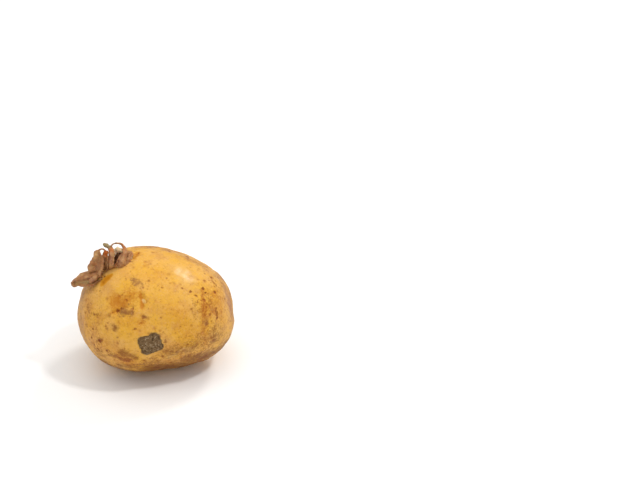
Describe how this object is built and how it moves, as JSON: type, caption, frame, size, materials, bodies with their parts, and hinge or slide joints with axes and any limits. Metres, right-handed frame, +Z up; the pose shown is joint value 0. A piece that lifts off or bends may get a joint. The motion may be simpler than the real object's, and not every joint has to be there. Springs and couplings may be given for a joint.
{
  "type": "potato",
  "caption": "Whole yellow-skinned potato, egg-shaped, with shallow eyes, dried soil and a torn curl of loose skin; it rests on a small flat spot.",
  "frame": {"origin": "middle of the flat spot that the potato rests on", "axes": "+X along the tuber from its blunt end to its narrow end, +Y across it to its back, +Z up from the surface it rests on"},
  "size_m": [0.0789, 0.0676, 0.0689],
  "materials": {
    "skin": "satin"
  },
  "bodies": {
    "root": {"potato": "skin"}
  },
  "joints": []
}
